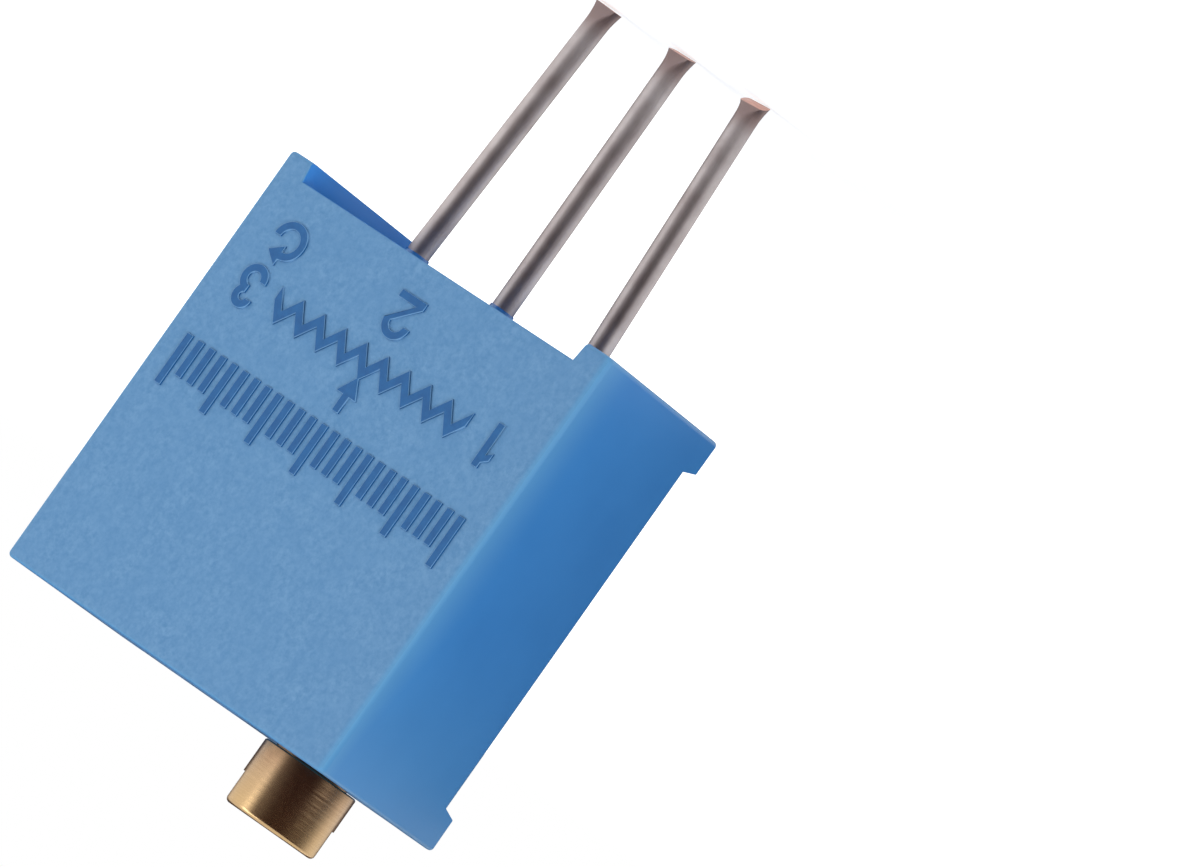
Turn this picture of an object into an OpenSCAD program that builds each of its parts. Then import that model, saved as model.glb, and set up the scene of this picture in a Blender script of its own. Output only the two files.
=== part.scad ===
// Top-adjust multi-turn trimmer potentiometer, 3/8 inch square, with three in-line leads.
// The origin is on the middle lead's axis, in the seating plane under the two rails.
// +Z runs up to the screw head, -Y is the marked front face, and the screw stands near the -X side.
// All sizes are in millimetres.

/* [Body] */
// Width of the moulded housing
body_w = 9.53; // [9.1:0.01:11]
// Thickness from the front face to the rear feet
body_t = 4.83; // [4.6:0.01:6]
// Height from the seating plane to the screw end
body_h = 10.03; // [9.4:0.01:13]
// Depth of the lead row behind the front face
lead_row = 2.65; // [2.5:0.01:2.9]
// Radius of the upright outer corners
corner_r = 0.20; // [0.05:0.01:0.3]
// Side wall, which is also the width of each seating rail at its root
side_wall = 0.75; // [0.65:0.01:0.95]
// Front wall
front_wall = 0.60; // [0.4:0.01:0.7]
// Top wall away from the screw
top_wall = 0.80; // [0.5:0.01:1.3]

/* [Rails and feet] */
// Height of the seating rails below the front wall's lower edge
rail_h = 0.45; // [0.3:0.01:0.5]
// Slant of each rail's inner flank over its height
rail_draft = 0.06; // [0:0.01:0.15]
// Side of the four square feet on the back
foot_size = 0.90; // [0.5:0.01:1.5]
// Height of the back feet
foot_h = 0.38; // [0.2:0.01:0.5]

/* [Moulded marks] */
// Height of the moulded marks above the front face
mark_relief = 0.05; // [0.03:0.01:0.1]
// Width of a mark's stroke
mark_stroke = 0.18; // [0.1:0.01:0.2]
// Height of the terminal numbers
digit_h = 1.02; // [0.8:0.01:1.2]
// Height of the resistor symbol's centre line above the seating plane
symbol_z = 2.80; // [2.4:0.01:3.2]
// Height of the row of tick marks
tick_h = 1.20; // [0.8:0.01:1.4]
// Number of tick marks, one for each turn
tick_count = 25; // [15:1:30]
// Distance of the row's ends from the sides of the body
tick_inset = 0.70; // [0.4:0.01:1.2]
// Length of the resistor symbol
symbol_l = 5.70; // [4.6:0.01:5.8]
// Height of the resistor symbol's teeth
symbol_h = 0.60; // [0.4:0.01:0.8]
// Number of teeth in the resistor symbol
symbol_teeth = 9; // [6:1:11]

/* [Adjusting screw] */
// Distance of the screw's axis from the side of the body
screw_inset = 1.27; // [1.2:0.01:1.5]
// Depth of the screw's axis behind the front face
screw_depth = 1.50; // [1.42:0.01:1.6]
// Diameter of the slotted head
head_d = 2.19; // [1.9:0.01:2.35]
// Height of the head's end above the body
head_h = 1.52; // [1.2:0.01:2.5]
// Rounding of the head's rim
head_round = 0.10; // [0.03:0.01:0.2]
// Width of the driver slot
slot_w = 0.56; // [0.4:0.01:0.8]
// Depth of the driver slot
slot_depth = 0.70; // [0.4:0.01:0.9]
// Angle of the driver slot from the width of the body
slot_angle = -36; // [-90:1:90]
// Diameter of the journal in the housing's bore
journal_d = 1.70; // [1.55:0.01:1.75]
// Outer diameter of the threaded shank
thread_d = 1.30; // [1.15:0.01:1.36]
// Chamfer at the end of the thread
thread_chamfer = 0.12; // [0.05:0.01:0.15]
// Diameter of the screw at its two grooves
groove_d = 0.90; // [0.7:0.01:1.0]
// Depth of the solid block around the screw's bore
screw_block = 1.43; // [1.35:0.01:1.9]
// Width of the screw's block from the side cavity wall
block_w = 1.95; // [1.8:0.01:2.6]
// Thickness of the retainer plate
retainer_t = 0.30; // [0.2:0.01:0.4]
// Reach of the retainer plate on each side of the screw's axis
retainer_reach = 0.84; // [0.8:0.01:0.86]
// Width added to the retainer's closed end
retainer_web = 0.30; // [0.1:0.01:0.5]

/* [Resistive element] */
// Thickness of the alumina substrate
substrate_t = 0.80; // [0.5:0.01:0.9]
// Height of the substrate's lower edge above the seating plane
substrate_z = 0.75; // [0.6:0.01:0.8]
// Thickness of the printed films
film_t = 0.025; // [0.015:0.005:0.04]
// Width of the resistance and collector tracks
track_w = 0.75; // [0.65:0.01:0.85]
// Distance between the resistance track and the collector track
track_pitch = 1.35; // [1.2:0.01:1.4]
// Length of track left beyond the wiper's contact at each limit
track_margin = 0.12; // [0.05:0.01:0.15]
// Gap between the collector track and the conductor above it
collector_gap = 0.15; // [0.1:0.01:0.3]
// Width of the solder pads
pad_w = 0.96; // [0.94:0.01:1.1]
// Distance of the pads from the substrate's lower edge
pad_margin = 0.05; // [0.02:0.01:0.1]
// Height of the pads above the end cover
pad_rise = 0.25; // [0.15:0.01:0.3]
// Width of the printed conductors
conductor_w = 0.40; // [0.25:0.01:0.45]

/* [Leads and seal] */
// Distance between neighbouring leads
lead_pitch = 2.54; // [2.4:0.01:2.6]
// Diameter of the tinned wire
lead_d = 0.51; // [0.45:0.01:0.55]
// Length of the leads below the seating plane
lead_l = 6.10; // [3:0.01:9]
// Inward lean of the two outer leads, in degrees
lead_lean = 3.3; // [0:0.1:4]
// Width of a lead's sheared end
lead_tip_w = 0.68; // [0.56:0.01:0.8]
// Thickness of a lead's sheared end
lead_tip_t = 0.26; // [0.15:0.01:0.4]
// Length of a lead's sheared end
lead_tip_l = 0.45; // [0.2:0.01:0.8]
// Height above the potting's surface at which a lead's inner end is flattened
inner_start = 0.05; // [0.03:0.01:0.1]
// Width of a lead's flattened inner end
inner_w = 0.44; // [0.4:0.01:0.46]
// Thickness of that inner end
inner_t = 0.26; // [0.22:0.01:0.28]
// Length of that inner end above the potting
inner_l = 0.50; // [0.4:0.01:0.55]
// Radius of the solder on a pad
solder_r = 0.46; // [0.44:0.01:0.46]
// Height of the solder's centre above the potting
solder_rise = 0.18; // [0.1:0.01:0.2]
// Height of the potting's surface above the seating plane
potting_z = 0.55; // [0.5:0.01:0.6]
// Thickness of the potting
potting_t = 0.55; // [0.45:0.01:0.6]
// Thickness of the inner end cover
cover_t = 0.60; // [0.55:0.01:0.8]
// Radius of the potting's fillet around a lead, at the surface
fillet_r = 0.58; // [0.5:0.01:0.7]
// Height of that fillet
fillet_h = 0.30; // [0.2:0.01:0.38]
// Thickness of that fillet's edge on the lead
fillet_edge = 0.03; // [0.02:0.01:0.05]

/* [Carriage and wiper] */
// Height of the carriage
carriage_h = 1.30; // [1.2:0.01:1.6]
// Free space left above and below the carriage at its limits
end_gap = 0.15; // [0.1:0.01:0.2]
// Wall of the carriage behind the thread
nut_wall = 0.38; // [0.3:0.01:0.42]
// Width of the carriage beyond the collector track
carriage_margin = 0.18; // [0.1:0.01:0.3]
// Thickness of the wiper's sheet
wiper_t = 0.08; // [0.05:0.01:0.1]
// Width of one wiper finger
finger_w = 0.15; // [0.1:0.01:0.16]
// Slit between neighbouring fingers
finger_slit = 0.07; // [0.05:0.01:0.08]
// Height of the wiper's fixed end
wiper_base_h = 0.42; // [0.38:0.01:0.5]
// Distance of the wiper's fixed end from the carriage's top
wiper_margin = 0.08; // [0.05:0.01:0.15]
// Height of the contact points above the carriage's lower face
contact_rise = 0.30; // [0.2:0.01:0.4]
// Length of a finger's straight root below its fixed end
finger_root = 0.08; // [0.04:0.01:0.12]
// Reach of a finger's turned-up tip
finger_tip = 0.10; // [0.06:0.01:0.14]
// Diameter of the pegs that hold the wiper
peg_d = 0.28; // [0.2:0.01:0.3]
// Diameter of a peg's head
peg_head_d = 0.36; // [0.32:0.01:0.38]
// Height of a peg's head
peg_head_h = 0.08; // [0.05:0.01:0.1]
// Distance between the two pegs
peg_pitch = 1.24; // [0.8:0.01:1.4]

/* [Fits] */
// Radial clearance of the screw's journal in its bore
bore_clear = 0.05; // [0.02:0.01:0.08]
// Radial clearance of the thread in the carriage
thread_clear = 0.03; // [0.02:0.01:0.05]
// Gap between sliding pieces and the walls beside them
slide_gap = 0.07; // [0.05:0.01:0.08]
// Gap left between pieces that are bonded or nest without moving
nest_gap = 0.015; // [0.01:0.001:0.02]
// Axial play of the screw
screw_play = 0.02; // [0.01:0.01:0.04]
// Gap under the screw's head
head_gap = 0.03; // [0.02:0.01:0.05]
// Radial clearance of the thread in the channel of the side wall
channel_clear = 0.13; // [0.08:0.01:0.15]
// Gap between the screw's end and the end cover
shank_gap = 0.12; // [0.05:0.01:0.2]
// Gap between the leads and the films
pad_gap = 0.02; // [0.01:0.005:0.03]
// Gap between the substrate's edges and the housing
substrate_gap = 0.10; // [0.05:0.01:0.15]
// Gap between the solder and the end cover
solder_gap = 0.08; // [0.04:0.01:0.1]
// Gap between the wiper's contact points and the films
contact_gap = 0.01; // [0.005:0.001:0.02]

/* [Hidden] */

$fn = 64;
eps = 0.01;      // how far a cutting shape runs past the face that it cuts
long = 40;       // longer than any piece, for cutting shapes
lap = 0.03;      // how far two shapes of one lead run into each other

// Outer planes of the housing
front_y = -lead_row;
feet_y = front_y + body_t;
back_y = feet_y - foot_h;
side_x = body_w / 2;

// Cavity
cavity_x = side_x - side_wall;
cavity_front = front_y + front_wall;
film_y = lead_d / 2 + pad_gap;              // front of the films, just behind the leads
substrate_y = film_y + film_t;
cavity_back = substrate_y + substrate_t;
cavity_top = body_h - top_wall;
block_z = body_h - screw_block;

// Screw
screw_x = -side_x + screw_inset;
screw_y = front_y + screw_depth;
bore_r = journal_d / 2 + bore_clear;
channel_r = thread_d / 2 + channel_clear;   // round channel for the thread in the side wall
seal_groove_w = bore_r - groove_d / 2 + 2 * nest_gap;
seal_z = (body_h + block_z) / 2;

// End seal
cover_z = potting_z + potting_t;
cover_top = cover_z + cover_t;
shank_end_z = cover_top + shank_gap;
bend_z = 0.15;                              // where the outer leads start to lean
tin_t = 0.005;                              // the round wire inside the seal is thinner by its tin
inner_z = potting_z + inner_start;
inner_top = cover_z + inner_l;
solder_z = cover_z + solder_rise;

// Carriage, at the middle of its travel
run_low = cover_top;
run_high = block_z - retainer_t;
carriage_z = (run_low + run_high) / 2;
half_travel = (run_high - run_low - carriage_h) / 2 - end_gap;
carriage_front = cavity_front + slide_gap;
carriage_back = screw_y + thread_d / 2 + nut_wall;
carriage_left = -cavity_x + slide_gap;
carriage_right = track_w / 2 + carriage_margin;

// Wiper, with heights counted from the carriage's middle
wiper_base_z = carriage_h / 2 - wiper_base_h - wiper_margin;
contact_z = -carriage_h / 2 + contact_rise;
contact_y = film_y - contact_gap - wiper_t / 2;

// Films
track_x = -track_pitch;
film_low = cover_top + pad_rise;
track_low = carriage_z + contact_z - half_travel - track_margin;
track_high = carriage_z + contact_z + half_travel + track_margin;
substrate_top = block_z - substrate_gap;
substrate_x = cavity_x - substrate_gap;

blue = "#5f96cc";
blue_resin = "#3f7fc4";
brass = "#b98a4e";
tin = "#a9a6a2";

// ---------------------------------------------------------------- housing

// Plan of the outer block, with its upright corners rounded
module body_plan() {
    translate([-side_x + corner_r, front_y])
        square([body_w - 2 * corner_r, back_y - front_y]);
    translate([-side_x, front_y + corner_r])
        square([body_w, back_y - front_y - 2 * corner_r]);
    for (x = [-side_x + corner_r, side_x - corner_r], y = [front_y + corner_r, back_y - corner_r])
        translate([x, y]) circle(r = corner_r);
}

// Gap between the seating rails, which runs through the front and back walls
module rail_gap() {
    translate([0, -long / 2, 0]) rotate([-90, 0, 0]) linear_extrude(long)
        polygon([
            [-cavity_x - rail_draft, long], [-cavity_x - rail_draft, 0], [-cavity_x, -rail_h],
            [cavity_x, -rail_h], [cavity_x + rail_draft, 0], [cavity_x + rail_draft, long]
        ]);
}

// Square foot on the back, flush with the side at a corner of the housing; its inner edge slopes
module foot(left, low) {
    slope = foot_h * 0.4;
    translate([left ? -side_x : side_x - foot_size, back_y, low ? 0 : body_h - foot_size])
        rotate([90, 0, 90]) linear_extrude(foot_size)
            polygon([
                [-corner_r, 0], [foot_h, low ? 0 : slope],
                [foot_h, foot_size - (low ? slope : 0)], [-corner_r, foot_size]
            ]);
}

// Round stroke: part of a ring with the marks' stroke width
module ring(r) {
    difference() {
        circle(r = r + mark_stroke / 2, $fn = 40);
        circle(r = r - mark_stroke / 2, $fn = 40);
    }
}

// Terminal numbers, each standing on y = 0 and centred on x = 0
module digit_one() {
    flag = digit_h * 0.24;
    translate([-mark_stroke / 2, 0]) square([mark_stroke, digit_h]);
    polygon([
        [mark_stroke / 2, digit_h], [-flag, digit_h - flag],
        [-flag, digit_h - flag - mark_stroke], [mark_stroke / 2, digit_h - mark_stroke]
    ]);
}

module digit_two() {
    r = digit_h * 0.27;
    centre = digit_h - r - mark_stroke / 2;
    translate([0, centre]) difference() {
        ring(r);
        translate([-digit_h, -digit_h]) square([digit_h * 1.6, digit_h]);
        translate([0, -digit_h]) square([digit_h, digit_h]);
    }
    polygon([
        [r - mark_stroke / 2, centre + eps], [r + mark_stroke / 2, centre + eps],
        [-r + mark_stroke * 0.6, mark_stroke - eps], [-r - mark_stroke / 2, mark_stroke - eps]
    ]);
    translate([-r - mark_stroke / 2, 0]) square([2 * r + mark_stroke, mark_stroke]);
}

module digit_three() {
    r_low = digit_h * 0.24;
    r_high = (digit_h - mark_stroke - 2 * r_low) / 2;
    low = r_low + mark_stroke / 2;
    high = digit_h - r_high - mark_stroke / 2;
    difference() {
        union() {
            translate([0, low]) ring(r_low);
            translate([0, high]) ring(r_high);
        }
        translate([-digit_h, low]) square([digit_h, high - low]);
    }
}

// Zigzag of the resistor symbol, as one band with a tooth every symbol_l / symbol_teeth
module zigzag() {
    step = symbol_l / symbol_teeth / 2;
    band = mark_stroke * 0.9;
    path = [for (i = [0 : 2 * symbol_teeth])
        [-symbol_l / 2 + i * step, (i % 2 == 0 ? -1 : 1) * (symbol_h - band) / 2]];
    last = len(path) - 1;
    polygon(concat(
        [for (i = [0 : last]) [path[i][0], path[i][1] + band]],
        [for (i = [last : -1 : 0]) [path[i][0], path[i][1] - band]]
    ));
}

// Wiper arrow that points down to the resistor symbol
module wiper_arrow() {
    head = mark_stroke * 1.6;
    translate([-mark_stroke / 2, head]) square([mark_stroke, digit_h * 0.55]);
    polygon([[0, 0], [head, head * 1.6], [-head, head * 1.6]]);
}

// Turning arrow: three quarters of a ring with an arrow head
module turning_arrow() {
    r = digit_h * 0.34;
    head = mark_stroke * 1.3;
    difference() {
        ring(r);
        square([digit_h, digit_h]);
    }
    translate([-eps, r]) polygon([[0, head], [1.5 * head, 0], [0, -head]]);
}

// Row of tick marks above the symbol, with every fourth one at full height
module tick_row() {
    row_w = body_w - 2 * tick_inset;
    step = row_w / (tick_count - 1);
    for (i = [0 : tick_count - 1])
        translate([-row_w / 2 + i * step - mark_stroke / 2, 0])
            square([mark_stroke, i % 4 == 0 ? tick_h : tick_h * 0.72]);
}

// All the marks, drawn in the plane of the front face
module front_marks() {
    number_z = symbol_z - digit_h / 2;
    number_x = symbol_l / 2 + digit_h * 0.7;
    row_gap = mark_stroke * 0.8;
    translate([0, symbol_z]) zigzag();
    translate([0, symbol_z + symbol_h / 2]) wiper_arrow();
    translate([-number_x, number_z]) digit_one();
    translate([0, number_z - digit_h - row_gap]) digit_two();
    translate([number_x, number_z]) digit_three();
    translate([number_x - mark_stroke, number_z - digit_h / 2 - 1.2 * row_gap]) turning_arrow();
    translate([0, symbol_z + symbol_h / 2 + digit_h + row_gap]) tick_row();
}

module housing() {
    color(blue) difference() {
        union() {
            linear_extrude(body_h) body_plan();
            for (left = [true, false], low = [true, false]) foot(left, low);
            translate([0, front_y + eps, 0]) rotate([90, 0, 0])
                linear_extrude(mark_relief + eps) front_marks();
        }
        rail_gap();
        cavity();
        translate([screw_x, screw_y, block_z - eps]) cylinder(r = bore_r, h = long);
    }
}

// Space inside the housing, open at the lead end, with the round channel beside the thread
module cavity() {
    difference() {
        translate([-cavity_x, cavity_front, -long / 2])
            cube([2 * cavity_x, cavity_back - cavity_front, long / 2 + cavity_top]);
        translate([-cavity_x - eps, cavity_front - eps, block_z])
            cube([block_w + eps, cavity_back - cavity_front + 2 * eps, long]);
    }
    translate([screw_x, screw_y, -long / 2]) cylinder(r = channel_r, h = long / 2 + block_z);
}

// ---------------------------------------------------------------- lead end

// Plug of the cavity's section between two heights, clear of the walls
module cavity_plug(z, h, back) {
    translate([-cavity_x + nest_gap, cavity_front + nest_gap, z])
        cube([2 * (cavity_x - nest_gap), back - cavity_front - 2 * nest_gap, h]);
    translate([screw_x, screw_y, z]) cylinder(r = channel_r - nest_gap, h = h);
}

// Moulded cover that keeps the potting out of the carriage's space
module end_cover() {
    notch = 2 * (solder_r + solder_gap);
    color("#4d86c6") difference() {
        cavity_plug(cover_z, cover_t, film_y);
        for (i = [-1 : 1])
            translate([i * lead_pitch - notch / 2, -lead_d / 2 - solder_gap, cover_z - eps])
                cube([notch, long, cover_t + 2 * eps]);
    }
}

// Fillet of resin that climbs a lead, as a quarter of a hollow curve turned about the lead
module resin_fillet(x) {
    steps = 8;
    inner = lead_d / 2 + nest_gap;
    tip = inner + fillet_edge;
    translate([x, 0, potting_z]) mirror([0, 0, 1]) rotate_extrude()
        polygon(concat(
            [[inner, -2 * eps], [fillet_r, -2 * eps]],
            [for (i = [0 : steps]) let (a = 90 * i / steps)
                [fillet_r - (fillet_r - tip) * sin(a), fillet_h * (1 - cos(a))]],
            [[inner, fillet_h]]
        ));
}

// Epoxy that seals the lead end
module potting() {
    color(blue_resin) difference() {
        union() {
            cavity_plug(potting_z, potting_t, cavity_back);
            for (i = [-1 : 1]) resin_fillet(i * lead_pitch);
        }
        translate([-substrate_x - nest_gap, film_y - nest_gap, substrate_z - nest_gap])
            cube([2 * (substrate_x + nest_gap), long, long]);
        for (i = [-1 : 1]) {
            translate([i * lead_pitch, 0, inner_z + nest_gap - long])
                cylinder(d = lead_d + 2 * nest_gap, h = long);
            inner_end(i * lead_pitch, nest_gap);
            translate([i * lead_pitch, film_y, solder_z]) sphere(r = solder_r + nest_gap);
        }
    }
}

// Flattened inner end of a lead, from the potting up to its pad; with a gap, it cuts the seat
module inner_end(x, gap) {
    low = inner_z - lap;
    translate([x - inner_w / 2 - gap, lead_d / 2 - inner_t - gap, low - gap])
        cube([inner_w + 2 * gap, inner_t + 2 * gap, inner_top - low + 2 * gap]);
}

// Round tinned wire, with its sheared end wider one way and thinner the other
module lead(x, lean) {
    wire_l = lead_l + bend_z;
    inner_end(x, 0);
    translate([x, 0, bend_z]) {
        cylinder(d = lead_d - 2 * tin_t, h = inner_z - bend_z);
        rotate([0, lean, 0]) mirror([0, 0, 1]) {
            translate([0, 0, -lap]) cylinder(d = lead_d, h = wire_l - lead_tip_l + lap);
            translate([0, 0, wire_l - lead_tip_l]) intersection() {
                cylinder(d1 = lead_d, d2 = lead_tip_w, h = lead_tip_l);
                rotate([90, 0, 90]) translate([0, 0, -long / 2]) linear_extrude(long)
                    polygon([
                        [-lead_d / 2, 0], [lead_d / 2, 0],
                        [lead_tip_t / 2, lead_tip_l], [-lead_tip_t / 2, lead_tip_l]
                    ]);
            }
        }
    }
}

module lead_1() { color(tin) lead(-lead_pitch, -lead_lean); }
module lead_2() { color(tin) lead(0, 0); }
module lead_3() { color(tin) lead(lead_pitch, lead_lean); }

// Dome of solder that joins a lead to its pad
module solder_joint(x) {
    color("#c9c9cc") difference() {
        translate([x, film_y, solder_z]) sphere(r = solder_r);
        translate([x - long / 2, film_y, -long / 2]) cube(long);
        for (y = [0, pad_gap]) translate([0, y, 0]) inner_end(x, nest_gap);
    }
}

module solder_joint_1() { solder_joint(-lead_pitch); }
module solder_joint_2() { solder_joint(0); }
module solder_joint_3() { solder_joint(lead_pitch); }

// ---------------------------------------------------------------- resistive element

module substrate() {
    color("#eceae4") translate([-substrate_x, substrate_y, substrate_z])
        cube([2 * substrate_x, substrate_t, substrate_top - substrate_z]);
}

// Flat printed film between two corners, given as [x, z]
module film(low, high) {
    translate([low[0], film_y, low[1]])
        cube([high[0] - low[0], film_t, high[1] - low[1]]);
}

module pad(x) {
    film([x - pad_w / 2, substrate_z + pad_margin], [x + pad_w / 2, film_low]);
}

module resistance_track() {
    color("#2b2a2c") film([track_x - track_w / 2, track_low], [track_x + track_w / 2, track_high]);
}

module collector_track() {
    color("#4a4a4d") film([-track_w / 2, film_low], [track_w / 2, track_high - collector_gap]);
}

// From lead 1 to the lower end of the resistance track
module conductor_1() {
    color("#b9b7b0") {
        pad(-lead_pitch);
        film([-lead_pitch - pad_w / 2, film_low - eps], [track_x + track_w / 2, track_low]);
    }
}

// From lead 2 to the collector track
module conductor_2() { color("#b9b7b0") pad(0); }

// From lead 3 up beside the collector track and over it to the resistance track's upper end
module conductor_3() {
    bar_top = track_high + conductor_w;
    color("#b9b7b0") {
        pad(lead_pitch);
        film([lead_pitch - conductor_w / 2, film_low - eps], [lead_pitch + conductor_w / 2, bar_top]);
        film([track_x - track_w / 2, track_high], [lead_pitch + conductor_w / 2, bar_top]);
    }
}

// ---------------------------------------------------------------- adjusting screw

// Half section of the screw, as [radius, height], with the rim rounded
function rim(steps) = [for (i = [0 : steps]) let (a = 90 * i / steps)
    [head_d / 2 - head_round * (1 - cos(a)), body_h + head_h - head_round * (1 - sin(a))]];

module adjusting_screw() {
    head_low = body_h + head_gap;
    seal_low = seal_z - seal_groove_w / 2;
    seal_high = seal_z + seal_groove_w / 2;
    clip_low = block_z - retainer_t - screw_play;
    clip_high = block_z + screw_play;
    color(brass) difference() {
        translate([screw_x, screw_y, 0]) rotate_extrude()
            polygon(concat(
                [[0, shank_end_z], [thread_d / 2 - thread_chamfer, shank_end_z],
                 [thread_d / 2, shank_end_z + thread_chamfer],
                 [thread_d / 2, clip_low], [groove_d / 2, clip_low],
                 [groove_d / 2, clip_high], [journal_d / 2, clip_high],
                 [journal_d / 2, seal_low], [groove_d / 2, seal_low],
                 [groove_d / 2, seal_high], [journal_d / 2, seal_high],
                 [journal_d / 2, head_low], [head_d / 2, head_low]],
                rim(8),
                [[0, body_h + head_h]]
            ));
        translate([screw_x, screw_y, body_h + head_h - slot_depth]) rotate([0, 0, slot_angle])
            translate([-head_d, -slot_w / 2, 0]) cube([2 * head_d, slot_w, long]);
    }
}

// Rubber ring in the journal's groove
module o_ring() {
    ring_r = (bore_r - groove_d / 2) / 2 - nest_gap;
    color("#2a2a2a") translate([screw_x, screw_y, seal_z]) rotate_extrude()
        translate([(bore_r + groove_d / 2) / 2, 0]) circle(r = ring_r, $fn = 32);
}

// Forked plate under the block, with its legs in the lower groove
module screw_retainer() {
    slot = groove_d + 2 * nest_gap;
    low_x = -cavity_x + nest_gap;
    high_x = screw_x + retainer_reach + retainer_web;
    color("#c2bfb8") translate([0, 0, block_z - retainer_t]) difference() {
        translate([low_x, screw_y - retainer_reach, 0])
            cube([high_x - low_x, 2 * retainer_reach, retainer_t]);
        translate([screw_x, screw_y, -eps]) cylinder(d = slot, h = retainer_t + 2 * eps);
        translate([screw_x - long, screw_y - slot / 2, -eps])
            cube([long, slot, retainer_t + 2 * eps]);
    }
}

// ---------------------------------------------------------------- carriage and wiper

// Places of the two pegs that hold the wiper
function peg_x() = [(track_x - peg_pitch) / 2, (track_x + peg_pitch) / 2];

// Moulded nut block that rides on the thread
module carriage() {
    mid = carriage_z + wiper_base_z + wiper_base_h / 2;
    color("#e8e4d8") {
        difference() {
            translate([carriage_left, carriage_front, carriage_z - carriage_h / 2])
                cube([carriage_right - carriage_left, carriage_back - carriage_front, carriage_h]);
            translate([screw_x, screw_y, 0])
                cylinder(d = thread_d + 2 * thread_clear, h = long);
        }
        for (x = peg_x()) translate([x, carriage_back - eps, mid]) rotate([-90, 0, 0]) {
            cylinder(d = peg_d, h = wiper_t + 2 * eps, $fn = 32);
            translate([0, 0, wiper_t + eps]) cylinder(d = peg_head_d, h = peg_head_h, $fn = 32);
        }
    }
}

// One bent finger, drawn as [y, z] and given its width along X
module finger() {
    root = [carriage_back + wiper_t / 2, wiper_base_z + eps];
    bend = [carriage_back + wiper_t / 2, wiper_base_z - finger_root];
    touch = [contact_y, contact_z];
    tip = [contact_y - finger_tip, contact_z - finger_tip];
    rotate([90, 0, 90]) translate([0, 0, -finger_w / 2]) linear_extrude(finger_w) {
        bar(root, bend);
        bar(bend, touch);
        bar(touch, tip);
    }
}

// Flat strip between two points, with round ends
module bar(a, b) {
    l = norm(b - a);
    translate(a) rotate(atan2(b[1] - a[1], b[0] - a[0]))
        translate([0, -wiper_t / 2]) square([l, wiper_t]);
    for (p = [a, b]) translate(p) circle(d = wiper_t, $fn = 24);
}

// Springy contact sheet with three fingers on each track
module wiper() {
    pitch = finger_w + finger_slit;
    low_x = track_x - 1.5 * pitch;
    high_x = 1.5 * pitch;
    color("#c8a15a") translate([0, 0, carriage_z]) {
        difference() {
            translate([low_x, carriage_back, wiper_base_z])
                cube([high_x - low_x, wiper_t, wiper_base_h]);
            for (x = peg_x())
                translate([x, carriage_back - eps, wiper_base_z + wiper_base_h / 2])
                    rotate([-90, 0, 0])
                        cylinder(d = peg_d + nest_gap, h = wiper_t + 2 * eps, $fn = 32);
        }
        for (x = [track_x, 0], i = [-1 : 1]) translate([x + i * pitch, 0, 0]) finger();
    }
}

housing();
end_cover();
potting();
substrate();
resistance_track();
collector_track();
conductor_1();
conductor_2();
conductor_3();
solder_joint_1();
solder_joint_2();
solder_joint_3();
lead_1();
lead_2();
lead_3();
adjusting_screw();
o_ring();
screw_retainer();
carriage();
wiper();
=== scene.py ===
import math

import bmesh
import bpy
from mathutils import Matrix, Vector


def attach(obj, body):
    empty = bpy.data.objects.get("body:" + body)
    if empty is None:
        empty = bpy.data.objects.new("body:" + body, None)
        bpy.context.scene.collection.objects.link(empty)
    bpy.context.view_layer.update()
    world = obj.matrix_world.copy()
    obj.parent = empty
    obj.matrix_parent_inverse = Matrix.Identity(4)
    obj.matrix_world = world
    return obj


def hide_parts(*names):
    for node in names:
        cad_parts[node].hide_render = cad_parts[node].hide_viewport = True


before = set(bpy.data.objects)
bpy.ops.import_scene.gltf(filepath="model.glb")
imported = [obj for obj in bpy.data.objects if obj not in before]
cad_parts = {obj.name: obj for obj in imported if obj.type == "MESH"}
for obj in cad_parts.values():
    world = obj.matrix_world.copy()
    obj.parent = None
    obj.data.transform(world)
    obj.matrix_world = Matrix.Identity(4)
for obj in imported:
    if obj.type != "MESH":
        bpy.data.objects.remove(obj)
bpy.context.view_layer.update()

# ---------------------------------------------------------------- housing
# One moulding in blue glass-filled polyester. The mould's front cavity is spark-eroded, so that
# face comes out matt, and its paler blue is painted sheen; the other faces and the tops of the
# raised marks were polished.

mm = 0.001
side_x = 4.765
front_y = -2.65
back_y = 1.80
body_h = 10.03
rail_h = 0.45
edge_round = 0.10
gap_round = 0.03
mark_round = 0.021


def colour(hexcode):
    """An sRGB hex colour as the linear colour that a shader takes."""
    parts = [int(hexcode[i:i + 2], 16) / 255 for i in (1, 3, 5)]
    return [p / 12.92 if p <= 0.04045 else ((p + 0.055) / 1.055) ** 2.4 for p in parts] + [1.0]


def start_finish(name, **sockets):
    """A new material and its surface shader, with the values that are the same all over."""
    finish = bpy.data.materials.new(name)
    finish.use_nodes = True
    surface = finish.node_tree.nodes["Principled BSDF"]
    for socket, value in sockets.items():
        surface.inputs[socket.replace("_", " ")].default_value = value
    return finish, surface


def add(finish, kind, inputs, **settings):
    """One more node in a material. An input is a value, or the output that is linked to it."""
    tree = finish.node_tree
    node = tree.nodes.new(kind)
    for name, value in settings.items():
        setattr(node, name, value)
    for socket, value in inputs.items():
        if isinstance(value, bpy.types.NodeSocket):
            tree.links.new(value, node.inputs[socket])
        else:
            node.inputs[socket].default_value = value
    return node


def feed(finish, source, surface, socket):
    finish.node_tree.links.new(source, surface.inputs[socket])


merge_gap = 0.0005
fine_gap = 0.0002


def cad_copy(node):
    """A CAD node's mesh as one closed skin, with its flat faces joined up again."""
    skin = bmesh.new()
    skin.from_mesh(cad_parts[node].data)
    bmesh.ops.remove_doubles(skin, verts=skin.verts, dist=merge_gap * mm)
    bmesh.ops.dissolve_limit(skin, angle_limit=math.radians(0.5), verts=skin.verts,
                             edges=skin.edges)
    return skin


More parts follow.
